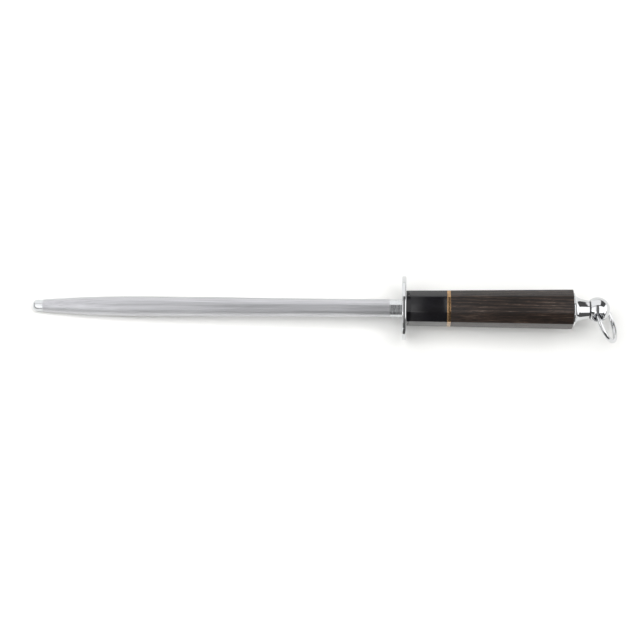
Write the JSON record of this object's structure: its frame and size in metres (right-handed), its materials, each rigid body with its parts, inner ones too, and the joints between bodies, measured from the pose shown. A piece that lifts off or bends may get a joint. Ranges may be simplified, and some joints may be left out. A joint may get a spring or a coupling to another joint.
{
  "type": "knife sharpening steel",
  "caption": "Slim fluted steel rod with a rounded taper and round guard, an octagonal wooden handle with black ferrule and brass spacer, and a swivel ball with a hanging ring.",
  "frame": {"origin": "centre of the guard's front face, where the rod leaves it", "axes": "+X along the rod's axis towards the butt and ring, so the tip points to -X; +Z square to the broad top flat of the handle"},
  "size_m": [0.4023, 0.044, 0.0464],
  "materials": {
    "fluted_steel": "satin, fine lengthwise flutes",
    "chrome": "polished",
    "black_resin": "satin",
    "brass": "satin",
    "wenge": "oiled, open pores",
    "beech": "plain",
    "fibre": "matte",
    "nylon": "matte",
    "spring_steel": "plain"
  },
  "bodies": {
    "handle": {"sharpening_rod": "fluted_steel", "guard": "chrome", "ferrule": "black_resin", "spacer": "brass", "grip": "wenge", "dowel_sleeve": "beech", "butt_washer": "fibre", "end_cap": "chrome", "swivel_washer": "nylon"},
    "swivel": {"swivel_ball": "chrome", "stem_washer": "spring_steel", "stem_clip": "spring_steel"},
    "ring": {"hanging_ring": "chrome"}
  },
  "joints": [
    {"name": "swivel_turn", "type": "hinge", "parent": "handle", "child": "swivel", "pos_m": [0.1274, 0, 0], "axis": [1, 0, 0], "continuous": true},
    {"name": "ring_swing", "type": "hinge", "parent": "swivel", "child": "ring", "pos_m": [0.13302, 0, 0], "axis": [0, 0.866, -0.5], "range_deg": [-195, 75]}
  ]
}
